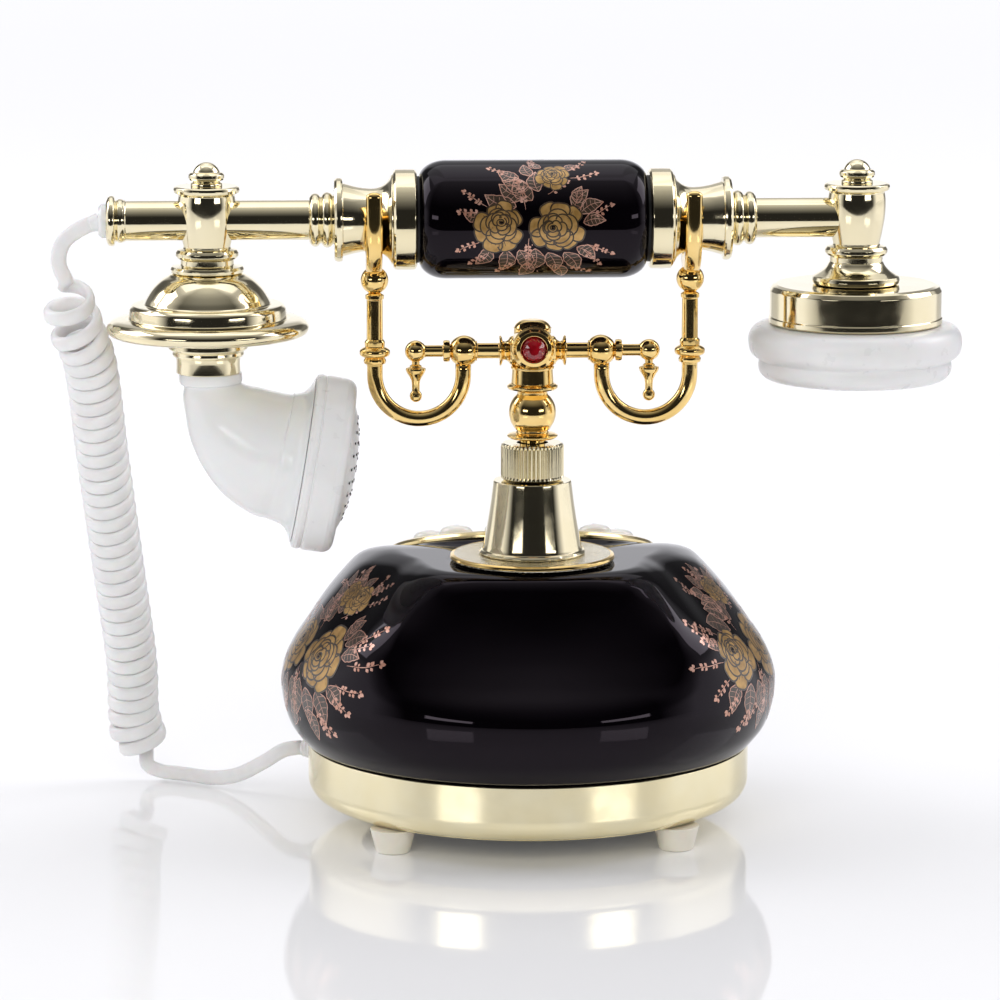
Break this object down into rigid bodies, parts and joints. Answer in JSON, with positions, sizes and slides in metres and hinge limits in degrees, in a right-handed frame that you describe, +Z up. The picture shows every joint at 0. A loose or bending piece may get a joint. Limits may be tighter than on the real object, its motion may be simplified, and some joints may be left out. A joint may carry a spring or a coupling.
{
  "type": "telephone",
  "caption": "French-style cradle telephone: round glazed body on a gold ring, keypad on a sloping dial, turned gold cradle and a handset with a horn mouthpiece on a coiled cord.",
  "frame": {"origin": "on the surface it stands on, under the centre of the round base ring", "axes": "+Z up, +X towards the mouthpiece end of the handset, +Y towards the back; the dial faces -Y"},
  "size_m": [0.2901, 0.1613, 0.2179],
  "materials": {
    "polished_gold": "polished yellow gold plate on brass",
    "pale_gold": "polished champagne gold plate on brass",
    "satin_gold": "satin pale gold",
    "pebbled_gold": "finely pebbled pale gold plate",
    "dial_gold": "polished gold plate",
    "body_glaze": "gloss black glaze with gold rose sprays",
    "grip_glaze": "gloss black glaze with a gold rose spray",
    "button_white": "glossy ivory white",
    "dial_medallion": "glossy cream",
    "horn_white": "glossy milk white",
    "cap_white": "semi-gloss milk white",
    "foot_cream": "cream, satin",
    "red_glass": "clear red, polished",
    "cord_white": "white, semi-gloss",
    "plug_white": "white, semi-gloss",
    "inner_black": "black",
    "board_green": "green circuit board",
    "plate_black": "satin black paint"
  },
  "bodies": {
    "base": {"base_plate": "plate_black", "base_ring": "satin_gold", "body_shell": "body_glaze", "cord_coil": "cord_white", "cord_gland": "plug_white", "cord_low_lead": "cord_white", "dial_bezel": "dial_gold", "dial_centre": "dial_medallion", "dial_plate": "dial_gold", "foot_1": "foot_cream", "foot_2": "foot_cream", "foot_3": "foot_cream", "foot_4": "foot_cream", "keypad_board": "board_green", "knurled_collar": "polished_gold", "stem_cone": "polished_gold", "stem_flange": "pebbled_gold"},
    "cradle": {"cradle_column": "polished_gold", "hub": "polished_gold", "jewel": "red_glass", "arm_left": "polished_gold", "arm_right": "polished_gold", "hook_left": "polished_gold", "hook_right": "polished_gold", "fork_left": "polished_gold", "fork_right": "polished_gold"},
    "handset": {"cord_plug": "plug_white", "cord_top_lead": "cord_white", "ear_barrel": "pale_gold", "ear_cap": "cap_white", "ear_drum": "pale_gold", "ear_finial": "pale_gold", "end_tube": "pale_gold", "grip_ring_left": "pale_gold", "grip_ring_right": "pale_gold", "handset_grip": "grip_glaze", "handset_tube": "pale_gold", "microphone": "inner_black", "mouth_barrel": "pale_gold", "mouth_bell": "pale_gold", "mouth_cap": "cap_white", "mouth_collar": "pale_gold", "mouth_finial": "pale_gold", "mouth_grille": "cap_white", "mouth_horn": "horn_white", "neck_left": "pale_gold", "neck_right": "pale_gold", "receiver_capsule": "inner_black"},
    "button_01_key": {"button_01": "button_white"},
    "button_02_key": {"button_02": "button_white"},
    "button_03_key": {"button_03": "button_white"},
    "button_04_key": {"button_04": "button_white"},
    "button_05_key": {"button_05": "button_white"},
    "button_06_key": {"button_06": "button_white"},
    "button_07_key": {"button_07": "button_white"},
    "button_08_key": {"button_08": "button_white"},
    "button_09_key": {"button_09": "button_white"},
    "button_10_key": {"button_10": "button_white"},
    "button_11_key": {"button_11": "button_white"},
    "button_12_key": {"button_12": "button_white"}
  },
  "joints": [
    {"name": "handset_lift", "type": "slide", "parent": "base", "child": "handset", "axis": [0, 0, 1], "range_m": [0, 0.06], "deforming": ["cord_coil"]},
    {"name": "cradle_rise", "type": "slide", "parent": "base", "child": "cradle", "axis": [0, 0, 1], "range_m": [0, 0.003], "stiffness_N_per_m": 400, "springref_m": 0.01},
    {"name": "button_01_press", "type": "slide", "parent": "base", "child": "button_01_key", "axis": [0, 0.2924, -0.9563], "range_m": [0, 0.0015], "stiffness_N_per_m": 150, "springref_m": -0.002},
    {"name": "button_02_press", "type": "slide", "parent": "base", "child": "button_02_key", "axis": [0, 0.2924, -0.9563], "range_m": [0, 0.0015], "stiffness_N_per_m": 150, "springref_m": -0.002},
    {"name": "button_03_press", "type": "slide", "parent": "base", "child": "button_03_key", "axis": [0, 0.2924, -0.9563], "range_m": [0, 0.0015], "stiffness_N_per_m": 150, "springref_m": -0.002},
    {"name": "button_04_press", "type": "slide", "parent": "base", "child": "button_04_key", "axis": [0, 0.2924, -0.9563], "range_m": [0, 0.0015], "stiffness_N_per_m": 150, "springref_m": -0.002},
    {"name": "button_05_press", "type": "slide", "parent": "base", "child": "button_05_key", "axis": [0, 0.2924, -0.9563], "range_m": [0, 0.0015], "stiffness_N_per_m": 150, "springref_m": -0.002},
    {"name": "button_06_press", "type": "slide", "parent": "base", "child": "button_06_key", "axis": [0, 0.2924, -0.9563], "range_m": [0, 0.0015], "stiffness_N_per_m": 150, "springref_m": -0.002},
    {"name": "button_07_press", "type": "slide", "parent": "base", "child": "button_07_key", "axis": [0, 0.2924, -0.9563], "range_m": [0, 0.0015], "stiffness_N_per_m": 150, "springref_m": -0.002},
    {"name": "button_08_press", "type": "slide", "parent": "base", "child": "button_08_key", "axis": [0, 0.2924, -0.9563], "range_m": [0, 0.0015], "stiffness_N_per_m": 150, "springref_m": -0.002},
    {"name": "button_09_press", "type": "slide", "parent": "base", "child": "button_09_key", "axis": [0, 0.2924, -0.9563], "range_m": [0, 0.0015], "stiffness_N_per_m": 150, "springref_m": -0.002},
    {"name": "button_10_press", "type": "slide", "parent": "base", "child": "button_10_key", "axis": [0, 0.2924, -0.9563], "range_m": [0, 0.0015], "stiffness_N_per_m": 150, "springref_m": -0.002},
    {"name": "button_11_press", "type": "slide", "parent": "base", "child": "button_11_key", "axis": [0, 0.2924, -0.9563], "range_m": [0, 0.0015], "stiffness_N_per_m": 150, "springref_m": -0.002},
    {"name": "button_12_press", "type": "slide", "parent": "base", "child": "button_12_key", "axis": [0, 0.2924, -0.9563], "range_m": [0, 0.0015], "stiffness_N_per_m": 150, "springref_m": -0.002}
  ],
  "couplings": [
    {"joint": "cradle_rise", "follows": "handset_lift", "ratio": 0.05}
  ]
}
